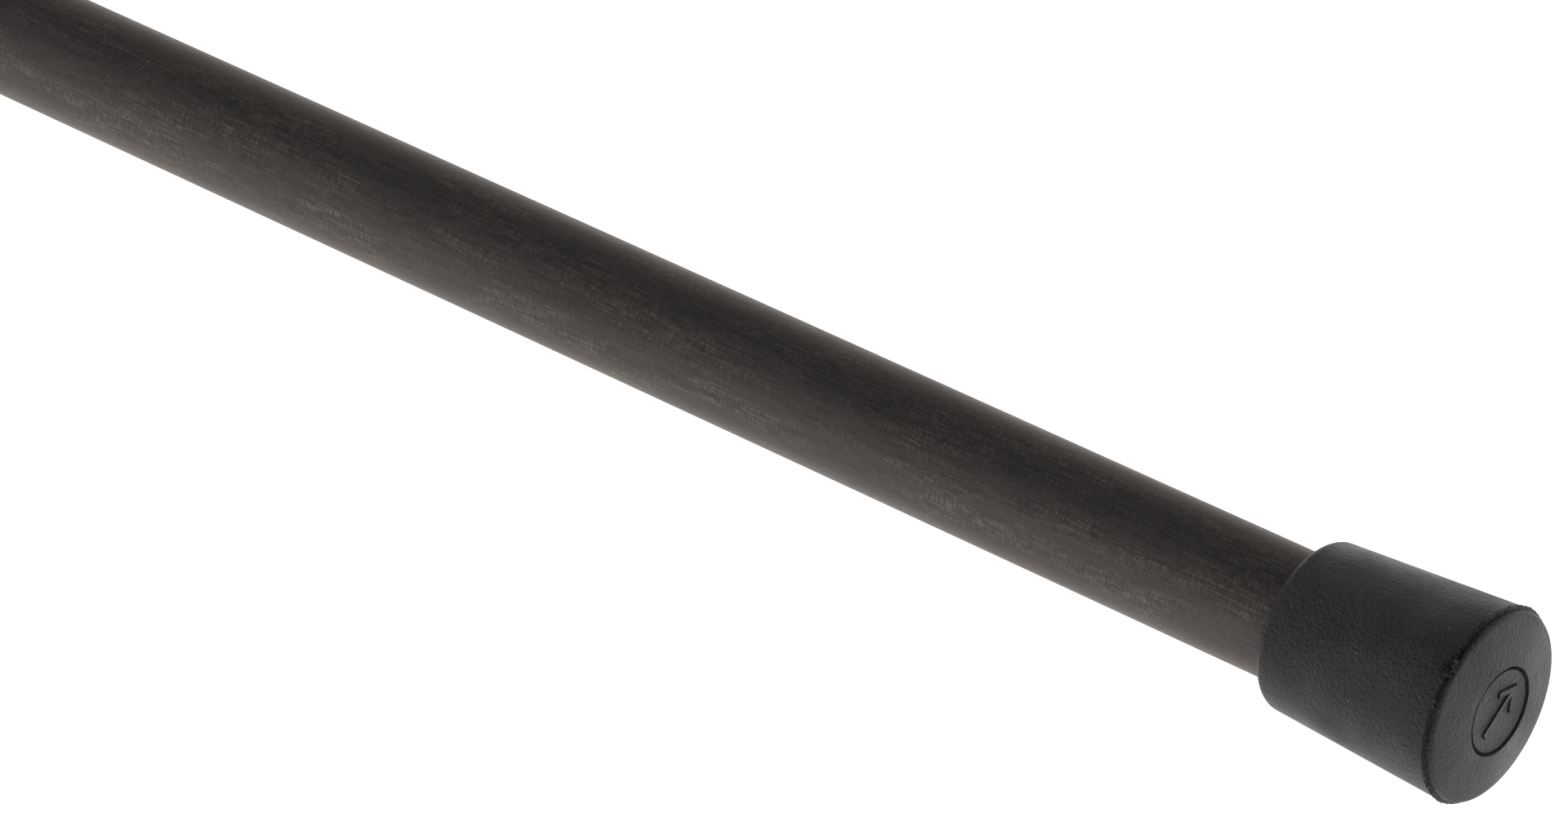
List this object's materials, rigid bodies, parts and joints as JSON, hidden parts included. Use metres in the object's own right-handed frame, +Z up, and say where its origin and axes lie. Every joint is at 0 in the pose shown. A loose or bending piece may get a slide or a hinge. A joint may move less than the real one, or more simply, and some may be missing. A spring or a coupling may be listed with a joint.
{
  "type": "door security bar",
  "caption": "Telescopic round bar with rubber end caps, a twist lock and a screw foot, braced between two flat faces to keep a sliding door or window shut.",
  "frame": {"origin": "centre of the fixed cap's end face, on the flat floor of its round mark", "axes": "+X along the bar's axis, out of the fixed cap's end face; the bar runs towards -X; +Z up with the bar level"},
  "size_m": [0.4004, 0.0174, 0.0174],
  "materials": {
    "dark_brushed_metal": "satin",
    "cap_rubber": "matte",
    "lock_black_nylon": "matte",
    "nut_black_plastic": "satin",
    "natural_nylon": "satin",
    "inner_tube_steel": "satin",
    "bright_steel": "satin",
    "dark_spring_steel": "satin",
    "brass": "satin"
  },
  "bodies": {
    "main_bar": {"main_tube": "dark_brushed_metal", "fixed_end_cap": "cap_rubber", "fixed_cap_washer": "bright_steel", "lock_sleeve": "lock_black_nylon", "guide_bush": "natural_nylon"},
    "collet_set": {"collet": "natural_nylon", "thrust_ring": "brass"},
    "twist_nut": {"lock_nut": "nut_black_plastic"},
    "inner_bar": {"inner_tube": "inner_tube_steel", "guide_plug": "natural_nylon", "plug_pin": "bright_steel", "threaded_insert": "brass", "insert_pins": "bright_steel"},
    "screw_foot": {"foot_stem": "dark_brushed_metal", "adjuster_cap_washer": "bright_steel", "adjuster_end_cap": "cap_rubber"},
    "screw_and_wheel": {"adjuster_stud": "bright_steel", "stud_stop_clip": "dark_spring_steel", "finger_wheel": "inner_tube_steel", "wheel_set_screw": "dark_spring_steel", "thrust_washer": "brass", "foot_clip": "dark_spring_steel"}
  },
  "joints": [
    {"name": "tube_slide", "type": "slide", "parent": "main_bar", "child": "inner_bar", "axis": [-1, 0, 0], "range_m": [0, 0.28]},
    {"name": "collet_release", "type": "slide", "parent": "main_bar", "child": "collet_set", "axis": [-1, 0, 0], "range_m": [0, 0.0015]},
    {"name": "nut_turn", "type": "hinge", "parent": "collet_set", "child": "twist_nut", "pos_m": [-0.339, 0, 0], "axis": [-1, 0, 0], "range_deg": [0, 360]},
    {"name": "foot_slide", "type": "slide", "parent": "inner_bar", "child": "screw_foot", "axis": [-1, 0, 0], "range_m": [0, 0.008]},
    {"name": "wheel_turn", "type": "hinge", "parent": "screw_foot", "child": "screw_and_wheel", "pos_m": [-0.371, 0, 0], "axis": [-1, 0, 0], "range_deg": [0, 3600]}
  ],
  "couplings": [
    {"joint": "collet_release", "follows": "nut_turn", "m_per_rad": 0.00023873},
    {"joint": "foot_slide", "follows": "wheel_turn", "m_per_rad": 0.00012732}
  ]
}
